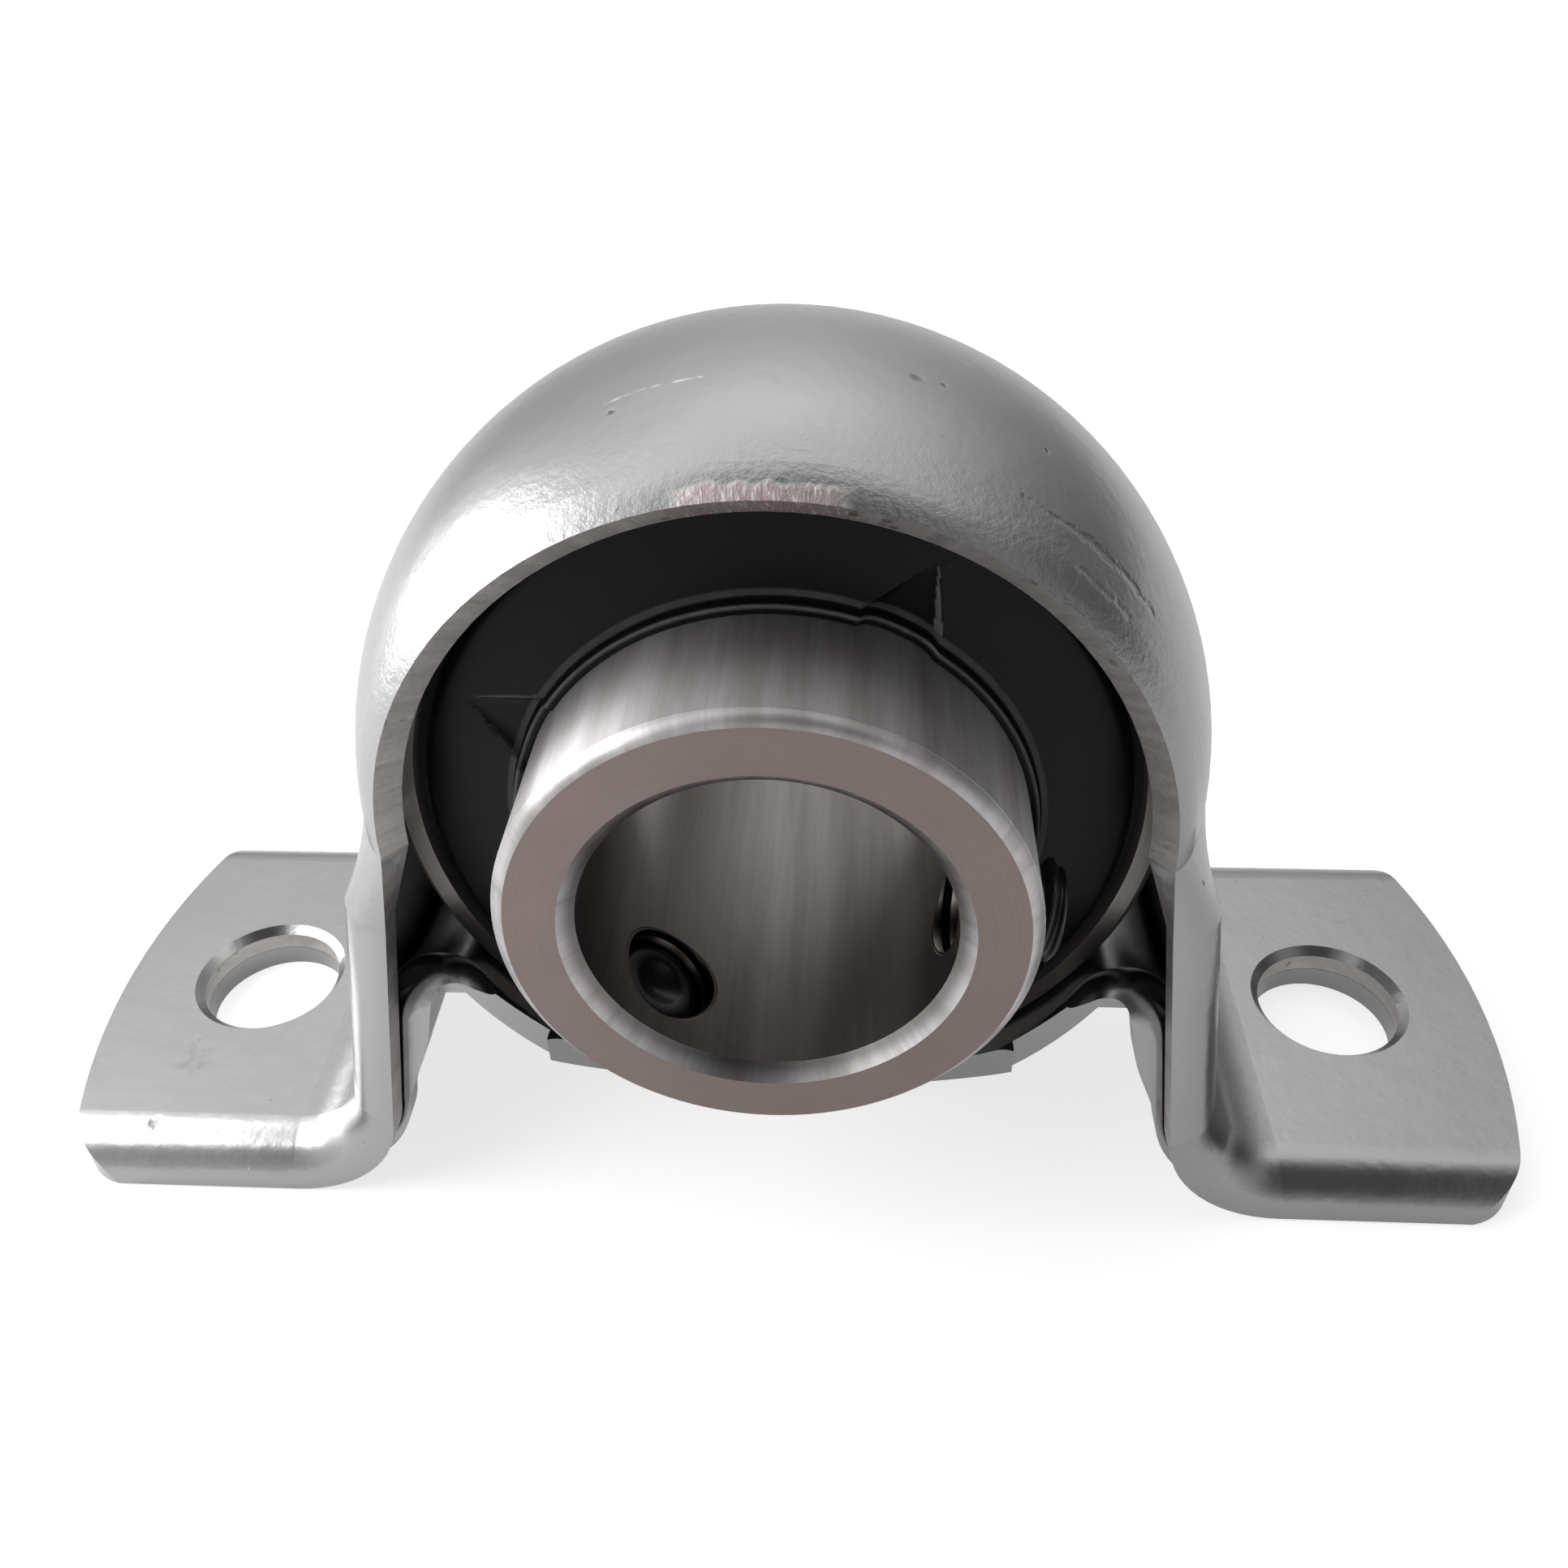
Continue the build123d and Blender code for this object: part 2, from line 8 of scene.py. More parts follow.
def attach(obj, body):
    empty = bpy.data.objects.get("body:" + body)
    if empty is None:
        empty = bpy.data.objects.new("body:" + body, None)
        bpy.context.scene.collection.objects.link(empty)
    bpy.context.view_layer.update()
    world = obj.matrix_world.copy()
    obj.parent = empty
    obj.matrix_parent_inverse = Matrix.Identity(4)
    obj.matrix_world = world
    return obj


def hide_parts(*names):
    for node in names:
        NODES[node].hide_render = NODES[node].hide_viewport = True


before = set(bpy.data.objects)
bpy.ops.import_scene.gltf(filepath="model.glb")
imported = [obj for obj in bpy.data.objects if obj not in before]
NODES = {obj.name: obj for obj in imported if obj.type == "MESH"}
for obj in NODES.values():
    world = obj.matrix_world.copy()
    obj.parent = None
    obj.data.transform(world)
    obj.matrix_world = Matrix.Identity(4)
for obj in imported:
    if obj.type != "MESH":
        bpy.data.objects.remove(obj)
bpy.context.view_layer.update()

MM = 0.001

# Sizes of the CAD model that the pieces and materials here line up with, in millimetres.
# The inner ring's own middle lies in front of the bearing's middle by INNER_RING_FORWARD.
SHAFT_HEIGHT = 25.4
BORE_R = 10.0
BORE_CHAMFER = 0.85
INNER_RING_R = 14.3
INNER_RING_HALF = 15.5
INNER_RING_FORWARD = 2.8
RING_CHAMFER = 0.7
OUTER_RING_FROM_R = (18.0, 19.0)
HOLE_SPACING = 76.0
HOLE_R = 4.75
SCREW_R = 3.0
SCREW_Y = -12.9
SCREW_OUTER = 15.8
SCREW_INNER = 10.8
SCREW_ANGLES = (-128.5, -8.5)

# Where the strap is bare: a pair is where a mask starts and where it is full, in millimetres
STRAP_SHEET = 1.8
STRAP_HALF_WIDTH = 17.28
STRAP_NARROWING = 0.2
CUT_MARGIN = 0.15
LIP_FOOT = (25.0, 25.6)
FOOT_END = (44.0, 44.4)
FLAT_Y = (-11.0, -11.25)
FLAT_HALF_LENGTH = (4.6, 3.2)
FLAT_FOOT = (40.0, 41.0)
PINK_HALF_LENGTH = (5.2, 4.2)
LIP_R = 25.0

# Camera, fitted to the photograph: place, lens and sensor in millimetres, angles in degrees
CAMERA_PLACE = (4.443, -68.698, 74.594)
CAMERA_DOWN = 37.523
CAMERA_ROLL = 1.416
CAMERA_YAW = 3.723
CAMERA_LENS = 31.32
CAMERA_SENSOR = 36.0

# Slinger: a pressed sheet with a collar on the ring, a dished web and a turned rim. Radius and distance
# from the middle of the bearing, in millimetres, with the radius that rounds each corner
SLINGER_SECTION = (
    (14.32, 8.20, 0.60), (14.32, 9.45, 0.08), (14.82, 9.45, 0.08), (14.82, 8.65, 0.30),
    (20.20, 7.75, 0.60), (20.20, 6.85, 0.08), (19.70, 6.85, 0.08), (19.70, 7.33, 0.20),
)
SLINGER_STEP = 0.16
SLINGER_TURNS = 900
CORNER_PARTS = 6

# Four triangles pressed into the slinger's web, with their base at the collar
DENT_ANGLES = (154.0, 63.0, -28.0, -118.0)
DENT_TIP_R = 18.6
DENT_BASE_R = 15.0
DENT_HALF_WIDTH = 2.3
DENT_DEPTH = 0.7

# Set screws
THREAD_PITCH = 1.0
THREAD_DEPTH = 0.5
THREAD_CLEARANCE = 0.02
THREAD_STEPS = 96
SCREW_TURNS = 96
SOCKET_AF = 3.0
SOCKET_DEPTH = 2.4

# Marks on the zinc that the photograph shows: places and radius or half width in millimetres
SPECKS = (
    ((-7.62, -5.88, 48.84), 0.26), ((13.73, -4.46, 46.22), 0.20), ((7.22, -3.16, 49.48), 0.42),
    ((8.60, -3.05, 49.05), 0.22), ((23.94, -10.77, 23.5), 0.16), ((-40.93, -13.57, 3.28), 0.55),
)
SCRATCHES = (
    ((-8.01, -5.12, 48.9), (-6.21, -4.77, 49.5), 0.16), ((-6.21, -4.77, 49.5), (-3.21, -4.65, 50.1), 0.12),
    ((-34.16, -14.66, 2.73), (-34.43, -15.61, 1.61), 0.09),
)
CREASES = (
    ((12.28, -8.68, 45.79), (13.82, -8.75, 44.74), 0.16), ((13.82, -8.75, 44.74), (15.75, -8.5, 43.33), 0.20),
    ((15.75, -8.5, 43.33), (17.76, -8.45, 41.37), 0.26), ((17.76, -8.45, 41.37), (19.42, -8.76, 39.12), 0.24),
    ((14.97, -10.46, 42.98), (17.61, -10.45, 40.33), 0.20),
)

# Colours as red, green, blue and alpha
WHITE = (1.0, 1.0, 1.0, 1.0)
ZINC_DULL, ZINC_CLEAR = (0.325, 0.33, 0.328, 1.0), (0.405, 0.41, 0.402, 1.0)
ZINC_STAIN, ZINC_FLECK = (0.25, 0.243, 0.23, 1.0), (0.24, 0.235, 0.225, 1.0)
ZINC_SPECK, ZINC_SCRATCH = (0.12, 0.118, 0.115, 1.0), (0.82, 0.82, 0.80, 1.0)
CUT_DARK, CUT_LIGHT = (0.34, 0.315, 0.305, 1.0), (0.66, 0.63, 0.62, 1.0)
CUT_SMOOTH, CUT_PIT = (0.62, 0.59, 0.58, 1.0), (0.10, 0.095, 0.09, 1.0)
FLAT_DARK, FLAT_LIGHT = (0.47, 0.39, 0.39, 1.0), (0.78, 0.74, 0.74, 1.0)
RING_FACE_DARK, RING_FACE_LIGHT = (0.175, 0.138, 0.130, 1.0), (0.26, 0.208, 0.198, 1.0)
RING_SIDE_DARK, RING_SIDE_LIGHT = (0.33, 0.305, 0.30, 1.0), (0.66, 0.645, 0.655, 1.0)
# The bore's colour is painted shade, darker than its ground steel.
RING_BORE_SHADE, RING_DUST = (0.085, 0.072, 0.064, 1.0), (0.14, 0.12, 0.115, 1.0)
# The tapped holes' thread colours are painted shade, with the thread's roots a lighter shade.
THREAD_CREST_SHADE, THREAD_ROOT_SHADE = (0.03, 0.028, 0.026, 1.0), (0.22, 0.19, 0.17, 1.0)
OUTER_RING_DARK, OUTER_RING_LIGHT = (0.20, 0.18, 0.17, 1.0), (0.31, 0.285, 0.275, 1.0)
BALL_DARK, BALL_LIGHT = (0.66, 0.66, 0.67, 1.0), (0.74, 0.74, 0.75, 1.0)
CAGE_DARK, CAGE_LIGHT = (0.42, 0.42, 0.41, 1.0), (0.58, 0.58, 0.56, 1.0)
SLINGER_DARK, SLINGER_LIGHT = (0.005, 0.005, 0.006, 1.0), (0.009, 0.009, 0.010, 1.0)
SCREW_DARK, SCREW_LIGHT = (0.010, 0.010, 0.010, 1.0), (0.024, 0.023, 0.023, 1.0)
RUBBER_DARK, RUBBER_LIGHT = (0.012, 0.012, 0.013, 1.0), (0.022, 0.022, 0.023, 1.0)
# The lighter grey on black edges is partly wear and partly painted highlight.
BLACK_DUST, BLACK_WORN_AND_HIGHLIGHT = (0.10, 0.10, 0.10, 1.0), (0.30, 0.30, 0.31, 1.0)
FLOOR_GREY = (0.56, 0.56, 0.56, 1.0)

# Studio panels: direction, narrowness and strength; a negative strength is a dark flag
PANELS = (
    ((-0.95, 0.15, 0.15), 18.0, 4.2), ((-0.60, 0.10, 0.75), 5.0, 0.35), ((0.93, 0.0, 0.34), 6.0, -0.90),
    ((0.0, 0.55, 0.84), 16.0, 0.50), ((0.12, -0.30, 0.95), 12.0, -0.95), ((0.14, -0.85, 0.50), 5.0, -1.00),
    ((0.38, 0.05, 0.92), 40.0, 0.55), ((-0.42, 0.20, 0.88), 40.0, 0.50),
    ((0.62, 0.75, 0.12), 6.0, -0.60), ((-0.10, 0.90, 0.30), 8.0, -0.10), ((-0.55, 0.83, 0.0), 8.0, -0.40),
)

# Strength of the studio's white in scattered light, where it is seen or mirrored, and at least
STUDIO_SCATTERED = 0.8
STUDIO_SEEN = 1.0
STUDIO_LEAST = 0.09

# The floor's half size in metres, and its own glow where it is seen and where it is mirrored
FLOOR_HALF = 3.0
FLOOR_SEEN = 0.72
FLOOR_MIRRORED = 0.34


class Graph:
    """A material's or world's node graph, built one node at a time."""

    def __init__(self, tree):
        self.tree = tree
        tree.nodes.clear()

    def node(self, kind, inputs=None, **settings):
        made = self.tree.nodes.new(kind)
        for name, value in settings.items():
            setattr(made, name, value)
        for name, value in (inputs or {}).items():
            socket = made.inputs[name]
            if isinstance(value, bpy.types.NodeSocket):
                self.tree.links.new(value, socket)
            elif value is not None:
                socket.default_value = value
        return made

    def maths(self, operation, a, b=0.0, c=0.0):
        return self.node("ShaderNodeMath", {0: a, 1: b, 2: c}, operation=operation).outputs[0]

    def times(self, *factors):
        total = factors[0]
        for factor in factors[1:]:
            total = self.maths("MULTIPLY", total, factor)
        return total

    def most(self, *values):
        total = values[0]
        for value in values[1:]:
            total = self.maths("MAXIMUM", total, value)
        return total

    def rest(self, value):
        """What is left of 1."""
        return self.maths("SUBTRACT", 1.0, value)

    def vector(self, operation, a, b=None):
        made = self.node("ShaderNodeVectorMath", {0: a, 1: b}, operation=operation)
        return made.outputs["Value" if operation in ("DOT_PRODUCT", "LENGTH", "DISTANCE") else "Vector"]

    def scaled(self, vector, factor):
        made = self.node("ShaderNodeVectorMath", {0: vector, "Scale": factor}, operation="SCALE")
        return made.outputs["Vector"]

    def combine(self, x=0.0, y=0.0, z=0.0):
        return self.node("ShaderNodeCombineXYZ", {0: x, 1: y, 2: z}).outputs[0]

    def split(self, vector):
        parts = self.node("ShaderNodeSeparateXYZ", {0: vector})
        return parts.outputs[0], parts.outputs[1], parts.outputs[2]

    def step(self, value, low, high):
        """0 at low and 1 at high, smooth in between; low may be the larger."""
        if low > high:
            return self.rest(self.step(value, high, low))
        made = self.node("ShaderNodeMapRange", {"Value": value, "From Min": low, "From Max": high},
                         interpolation_type="SMOOTHSTEP")
        return made.outputs["Result"]

    def scale_to(self, value, low, high):
        """A value from 0 to 1 carried over to low to high."""
        made = self.node("ShaderNodeMapRange", {"Value": value, "To Min": low, "To Max": high})
        return made.outputs["Result"]

    def noise(self, vector, scale, detail=3.0, roughness=0.55):
        made = self.node("ShaderNodeTexNoise", {"Vector": vector, "Scale": scale, "Detail": detail,
                                                "Roughness": roughness})
        return made.outputs["Fac"]

    def cells(self, vector, scale):
        """Distance to the nearest of scattered points."""
        return self.node("ShaderNodeTexVoronoi", {"Vector": vector, "Scale": scale}).outputs["Distance"]

    def mix(self, factor, a, b):
        made = self.node("ShaderNodeMix", {0: factor, 6: a, 7: b}, data_type="RGBA")
        return made.outputs[2]

    def bump(self, height, distance, normal=None):
        """Bump of a height from 0 to 1, whose full height is the distance in millimetres."""
        made = self.node("ShaderNodeBump", {"Height": height, "Distance": distance * MM, "Strength": 1.0,
                                            "Normal": normal})
        return made.outputs["Normal"]


def material(name):
    made = bpy.data.materials.new(name)
    made.use_nodes = True
    return made, Graph(made.node_tree)


def surface(graph, **inputs):
    """Principled shader wired to the output; names with underscores stand for spaces."""
    named = {name.replace("_", " "): value for name, value in inputs.items()}
    shader = graph.node("ShaderNodeBsdfPrincipled", named)
    graph.node("ShaderNodeOutputMaterial", {"Surface": shader.outputs["BSDF"]})


def place(graph):
    """Place in millimetres and normal, both along the object's own axes."""
    coordinates = graph.node("ShaderNodeTexCoord")
    return graph.scaled(coordinates.outputs["Object"], 1 / MM), coordinates.outputs["Normal"]


def from_axis(graph, point):
    """Vector to a point from the bearing's axis, square to the axis."""
    x, _, z = graph.split(point)
    return graph.combine(x, 0.0, graph.maths("SUBTRACT", z, SHAFT_HEIGHT))


def turn_around(graph, off_axis):
    """Angle around the bearing's axis of a vector from it."""
    x, _, z = graph.split(off_axis)
    return graph.maths("ARCTAN2", z, x)


def near_segment(graph, point, start, end):
    """Distance from a point to the segment from start to end."""
    start, end = Vector(start), Vector(end)
    along = end - start
    off = graph.vector("SUBTRACT", point, tuple(start))
    share = graph.vector("DOT_PRODUCT", off, tuple(along / along.length_squared))
    share = graph.node("ShaderNodeClamp", {0: share}).outputs[0]
    return graph.vector("DISTANCE", off, graph.scaled(tuple(along), share))


def marks(graph, point):
    """Masks of the dark specks, the bright scratches and the creases."""
    wobble = graph.noise(point, 1.3, 2.0)

    def mask(distances, raggedness, outer, inner):
        found = 0.0
        for distance, width in distances:
            off = graph.maths("MULTIPLY_ADD", wobble, width * raggedness, distance)
            found = graph.most(found, graph.step(off, width * outer, width * inner))
        return found

    def lines(segments):
        return [(near_segment(graph, point, start, end), width) for start, end, width in segments]

    spots = [(graph.vector("DISTANCE", point, spot), radius) for spot, radius in SPECKS]
    return mask(spots, 1.0, 1.7, 0.7), mask(lines(SCRATCHES), 3.0, 2.4, 1.2), mask(lines(CREASES), 4.0, 3.6, 1.8)


def sheared_edges(graph, point, normal):
    """Masks of all the strap's cut edges, which are the dome's lip, the walls' turned edges, the foot ends
    and the hole walls, and of the lip alone."""
    x, y, z = graph.split(point)
    nx, ny, nz = graph.split(normal)
    away = graph.vector("NORMALIZE", from_axis(graph, point))
    outward_y = graph.times(ny, graph.maths("SIGN", y))
    outward_x = graph.times(nx, graph.maths("SIGN", x))
    outward = graph.vector("DOT_PRODUCT", normal, away)
    lip = graph.times(graph.step(z, *LIP_FOOT), graph.step(outward, -0.45, -0.6),
                      graph.step(outward_y, 0.2, 0.4))
    edge_start = graph.maths("MULTIPLY_ADD", z, -STRAP_NARROWING, STRAP_HALF_WIDTH - STRAP_SHEET - CUT_MARGIN)
    beyond = graph.maths("SUBTRACT", graph.maths("ABSOLUTE", y), edge_start)
    wall = graph.times(graph.step(z, *reversed(LIP_FOOT)), graph.step(beyond, -0.1, 0.0),
                       graph.step(outward_x, -0.75, -0.9))
    ends = graph.times(graph.step(graph.maths("ABSOLUTE", x), *FOOT_END), graph.step(outward_x, 0.75, 0.85))
    across = graph.combine(graph.maths("ABSOLUTE", x), y)
    to_hole = graph.vector("DISTANCE", across, (HOLE_SPACING / 2, 0.0, 0.0))
    hole = graph.times(graph.step(to_hole, HOLE_R + 0.2, HOLE_R + 0.1),
                       graph.step(graph.maths("ABSOLUTE", nz), 0.6, 0.4))
    return graph.most(lip, wall, ends, hole), lip


def zinc_material(name, cut_edges):
    """Bright zinc on pressed sheet: clouded, granular where the sheet was stretched, and bare brown-grey
    steel where the sheet was cut or ground."""
    made, g = material(name)
    point, normal = place(g)
    x, y, z = g.split(point)
    angle = turn_around(g, from_axis(g, point))
    cloudy = g.noise(point, 0.085, 4.0, 0.62)
    stretched = g.times(g.step(g.maths("ABSOLUTE", y), 6.5, 10.5), g.step(z, 26.0, 34.0))
    grain = g.noise(point, 2.3, 3.0, 0.6)
    fine = g.noise(point, 8.5, 3.0, 0.65)
    drawn = g.noise(g.combine(g.times(angle, LIP_R), g.times(y, 0.12)), 1.6, 3.0, 0.6)

    colour = g.mix(cloudy, ZINC_DULL, ZINC_CLEAR)
    stain = g.times(g.step(g.noise(point, 0.21, 5.0, 0.7), 0.60, 0.78), 0.45)
    colour = g.mix(stain, colour, ZINC_STAIN)
    flecks = g.times(g.step(g.cells(point, 1.1), 0.16, 0.05), g.step(g.noise(point, 0.33, 3.0), 0.60, 0.70))
    colour = g.mix(g.times(flecks, 0.5), colour, ZINC_FLECK)
    specks, scratches, creases = marks(g, point)
    colour = g.mix(g.times(specks, 0.75), colour, ZINC_SPECK)
    colour = g.mix(g.times(scratches, 0.8), colour, ZINC_SCRATCH)

    rough = g.maths("ADD", g.scale_to(cloudy, 0.20, 0.30), g.times(stretched, g.scale_to(grain, 0.02, 0.12)))
    bumped = g.bump(g.noise(point, 0.35, 3.0, 0.6), 0.05)
    bumped = g.bump(g.times(grain, g.scale_to(stretched, 0.14, 1.0)), 0.040, bumped)
    bumped = g.bump(g.times(fine, g.scale_to(stretched, 0.2, 1.0)), 0.014, bumped)
    bumped = g.bump(g.rest(g.most(creases, specks)), 0.05, bumped)

    if cut_edges:
        cut, lip = sheared_edges(g, point, normal)
        ragged = g.maths("MULTIPLY_ADD", g.noise(g.combine(g.times(angle, LIP_R)), 0.7, 3.0), 0.9, y)
        to_side = g.maths("ABSOLUTE", x)
        ground = g.times(g.step(ragged, *FLAT_Y), g.step(to_side, *FLAT_HALF_LENGTH), g.step(z, *FLAT_FOOT))
        cut = g.most(cut, ground)
        along = g.combine(g.times(angle, LIP_R), g.maths("ADD", z, x))
        lines = g.noise(g.vector("MULTIPLY", along, (1.0, 0.35, 1.0)), 3.2, 4.0, 0.7)
        wide_lines = g.noise(g.vector("MULTIPLY", along, (1.0, 0.1, 1.0)), 0.9, 2.0)
        bare = g.mix(g.step(wide_lines, 0.35, 0.7), g.mix(lines, CUT_DARK, CUT_LIGHT), CUT_SMOOTH)
        pink = g.most(ground, g.times(lip, g.step(to_side, *PINK_HALF_LENGTH)))
        bare = g.mix(pink, bare, g.mix(g.step(lines, 0.50, 0.66), FLAT_DARK, FLAT_LIGHT))
        pits = g.times(g.step(g.cells(point, 0.9), 0.34, 0.20), g.step(g.noise(point, 0.25, 2.0), 0.56, 0.64))
        bare = g.mix(g.times(pits, 0.55), bare, CUT_PIT)
        colour = g.mix(cut, colour, bare)
        rough = g.maths("MULTIPLY_ADD", cut, 0.24, rough)
        bumped = g.bump(g.times(cut, lines), 0.06, bumped)
    bumped = g.bump(g.times(drawn, 0.4), 0.010, bumped)
    surface(g, Base_Color=colour, Metallic=1.0, Roughness=rough, Normal=bumped)
    return made


def tapped_holes(graph, point):
    """Masks of the set screws' holes and of the thread in them, as grooves around the screw's axis."""
    off = graph.vector("SUBTRACT", point, (0.0, SCREW_Y, SHAFT_HEIGHT))
    hole, groove = 0.0, 0.0
    for degrees in SCREW_ANGLES:
        turn = math.radians(degrees)
        axis = (math.cos(turn), 0.0, math.sin(turn))
        height = graph.vector("DOT_PRODUCT", off, axis)
        aside = graph.vector("LENGTH", graph.vector("CROSS_PRODUCT", off, axis))
        inside = graph.times(graph.step(aside, SCREW_R + 0.16, SCREW_R + 0.10), graph.step(height, 0.0, 1.0))
        hole = graph.most(hole, inside)
        groove = graph.most(groove, graph.times(inside, graph.maths("PINGPONG", height, THREAD_PITCH / 2), 2.0))
    return hole, groove


def rounded_normal(graph, point, normal, radius, away):
    """Normal that catches light at the inner ring's ends as a rounded corner does, in the scene's axes."""
    _, y, _ = graph.split(point)
    chamfer_r = INNER_RING_R - RING_CHAMFER
    reach = graph.maths("ABSOLUTE", graph.maths("ADD", y, INNER_RING_FORWARD))
    turn_out = graph.times(graph.maths("SUBTRACT", radius, chamfer_r), math.pi / 2 / RING_CHAMFER)
    along = graph.combine(0.0, graph.times(graph.maths("COSINE", turn_out), graph.maths("SIGN", y)))
    rounding = graph.vector("ADD", along, graph.scaled(away, graph.maths("SINE", turn_out)))
    corner = graph.times(graph.step(radius, chamfer_r - 0.02, chamfer_r + 0.02),
                         graph.step(radius, INNER_RING_R - 0.01, INNER_RING_R - 0.04),
                         graph.step(reach, INNER_RING_HALF - RING_CHAMFER - 0.1, INNER_RING_HALF - RING_CHAMFER))
    softened = graph.node("ShaderNodeMix", {0: corner, 4: normal, 5: rounding}, data_type="VECTOR").outputs[1]
    return graph.node("ShaderNodeVectorTransform", {0: softened}, vector_type="NORMAL", convert_from="OBJECT",
                      convert_to="WORLD").outputs[0]


def ring_material():
    """Bearing steel: brown-grey turned end faces, brighter ground cylinder, a bore painted dark as shade, and
    rounded edges.
    """
    made, g = material("ground_steel")
    point, normal = place(g)
    _, y, _ = g.split(point)
    _, ny, _ = g.split(normal)
    off_axis = from_axis(g, point)
    radius = g.vector("LENGTH", off_axis)
    angle = turn_around(g, off_axis)
    away = g.vector("NORMALIZE", off_axis)
    face = g.step(g.maths("ABSOLUTE", ny), 0.75, 0.9)
    across = g.combine(radius, y)
    rings = g.noise(across, 7.0, 4.0, 0.75)
    fine_rings = g.noise(across, 22.0, 3.0, 0.7)
    around = g.combine(g.times(g.maths("COSINE", angle), 9.0), g.times(g.maths("SINE", angle), 9.0),
                       g.times(y, 0.05))
    streaks = g.step(g.noise(around, 0.55, 4.0, 0.65), 0.30, 0.68)
    fine_streaks = g.noise(g.combine(g.times(angle, 30.0), g.times(y, 0.06), radius), 1.5, 3.0, 0.7)
    cloudy = g.noise(point, 0.16, 4.0, 0.6)

    face_colour = g.mix(g.maths("MULTIPLY_ADD", rings, 0.8, g.times(cloudy, 0.6)), RING_FACE_DARK, RING_FACE_LIGHT)
    side_colour = g.mix(g.maths("MULTIPLY_ADD", streaks, 0.6, g.times(fine_streaks, 0.4)),
                        RING_SIDE_DARK, RING_SIDE_LIGHT)
    # Painted shade: the bore is darkened inside the ring.
    bore = g.step(radius, BORE_R + BORE_CHAMFER, BORE_R + 0.1)
    side_colour = g.mix(g.times(bore, 0.70), side_colour, RING_BORE_SHADE)
    colour = g.mix(face, side_colour, face_colour)
    dust = g.times(g.step(g.cells(point, 1.7), 0.12, 0.03), g.step(g.noise(point, 0.5, 2.0), 0.62, 0.70))
    colour = g.mix(g.times(dust, 0.5), colour, RING_DUST)
    hole, groove = tapped_holes(g, point)
    # Painted shade: the tapped holes' walls are darkened, the thread's roots less so.
    colour = g.mix(hole, colour, g.mix(groove, THREAD_CREST_SHADE, THREAD_ROOT_SHADE))
    colour = g.mix(g.step(radius, *OUTER_RING_FROM_R), colour, g.mix(rings, OUTER_RING_DARK, OUTER_RING_LIGHT))

    outside = g.times(g.step(radius, 13.0, 14.0), g.rest(face))
    rough = g.maths("MULTIPLY_ADD", outside, 0.16, g.scale_to(fine_rings, 0.26, 0.38))
    bumped = g.bump(g.times(fine_rings, g.rest(hole)), 0.006, rounded_normal(g, point, normal, radius, away))
    bumped = g.bump(g.times(groove, -1.0), 0.25, bumped)
    tangent = g.node("ShaderNodeTangent", direction_type="RADIAL", axis="Y").outputs[0]
    surface(g, Base_Color=colour, Metallic=1.0, Roughness=rough, Normal=bumped, Anisotropic=0.6,
            Anisotropic_Rotation=0.25, Tangent=tangent)
    return made


def plain_metal(name, dark, light, rough_low, rough_high):
    made, g = material(name)
    point, _ = place(g)
    grain = g.noise(point, 0.8, 4.0, 0.6)
    fine = g.noise(point, 7.2, 2.0, 0.6)
    surface(g, Base_Color=g.mix(grain, dark, light), Metallic=1.0, Normal=g.bump(fine, 0.006),
            Roughness=g.scale_to(grain, rough_low, rough_high))
    return made


def black_material(name, dark, light, rough_low, rough_high, shine, wear_and_highlight_amount=0.0):
    """Black finish with fine grain and dust; edges that the mesh marks are lighter, partly from wear and partly as
    painted highlight.
    """
    made, g = material(name)
    point, _ = place(g)
    grain = g.noise(point, 0.9, 4.0, 0.6)
    fine = g.noise(point, 9.0, 3.0, 0.6)
    dust = g.times(g.step(g.cells(point, 1.3), 0.10, 0.02), g.step(g.noise(point, 0.4, 2.0), 0.60, 0.68))
    colour = g.mix(g.times(dust, 0.5), g.mix(grain, dark, light), BLACK_DUST)
    # Edges marked on the mesh are painted lighter: partly wear, partly painted highlight.
    edge_wear_and_highlight = g.node("ShaderNodeAttribute", attribute_name="edge_wear_and_highlight").outputs["Fac"]
    colour = g.mix(g.times(edge_wear_and_highlight, wear_and_highlight_amount, g.scale_to(grain, 0.4, 1.4)), colour, BLACK_WORN_AND_HIGHLIGHT)
    surface(g, Base_Color=colour, Roughness=g.scale_to(grain, rough_low, rough_high),
            Specular_IOR_Level=shine, Normal=g.bump(fine, 0.006))
    return made


def dress(piece, made):
    piece.data.materials.clear()
    piece.data.materials.append(made)


def rounded_outline(corners, step):
    """Closed outline in a plane with each corner rounded by its own radius, divided into short runs."""
    outline = []
    for number, (x, y, radius) in enumerate(corners):
        here = Vector((x, y))
        before = Vector(corners[number - 1][:2])
        after = Vector(corners[(number + 1) % len(corners)][:2])
        back, ahead = (before - here).normalized(), (after - here).normalized()
        half = back.angle(ahead) / 2
        middle = here + (back + ahead).normalized() * (radius / math.sin(half))
        first, last = here + back * (radius / math.tan(half)), here + ahead * (radius / math.tan(half))
        start = math.atan2(first.y - middle.y, first.x - middle.x)
        sweep = math.atan2(last.y - middle.y, last.x - middle.x) - start
        sweep = (sweep + math.pi) % (2 * math.pi) - math.pi
        for part in range(CORNER_PARTS + 1):
            turn = start + sweep * part / CORNER_PARTS
            outline.append(middle + radius * Vector((math.cos(turn), math.sin(turn))))
    divided = []
    for number, here in enumerate(outline):
        after = outline[(number + 1) % len(outline)]
        parts = max(1, round((after - here).length / step))
        divided += [here.lerp(after, part / parts) for part in range(parts)]
    return divided


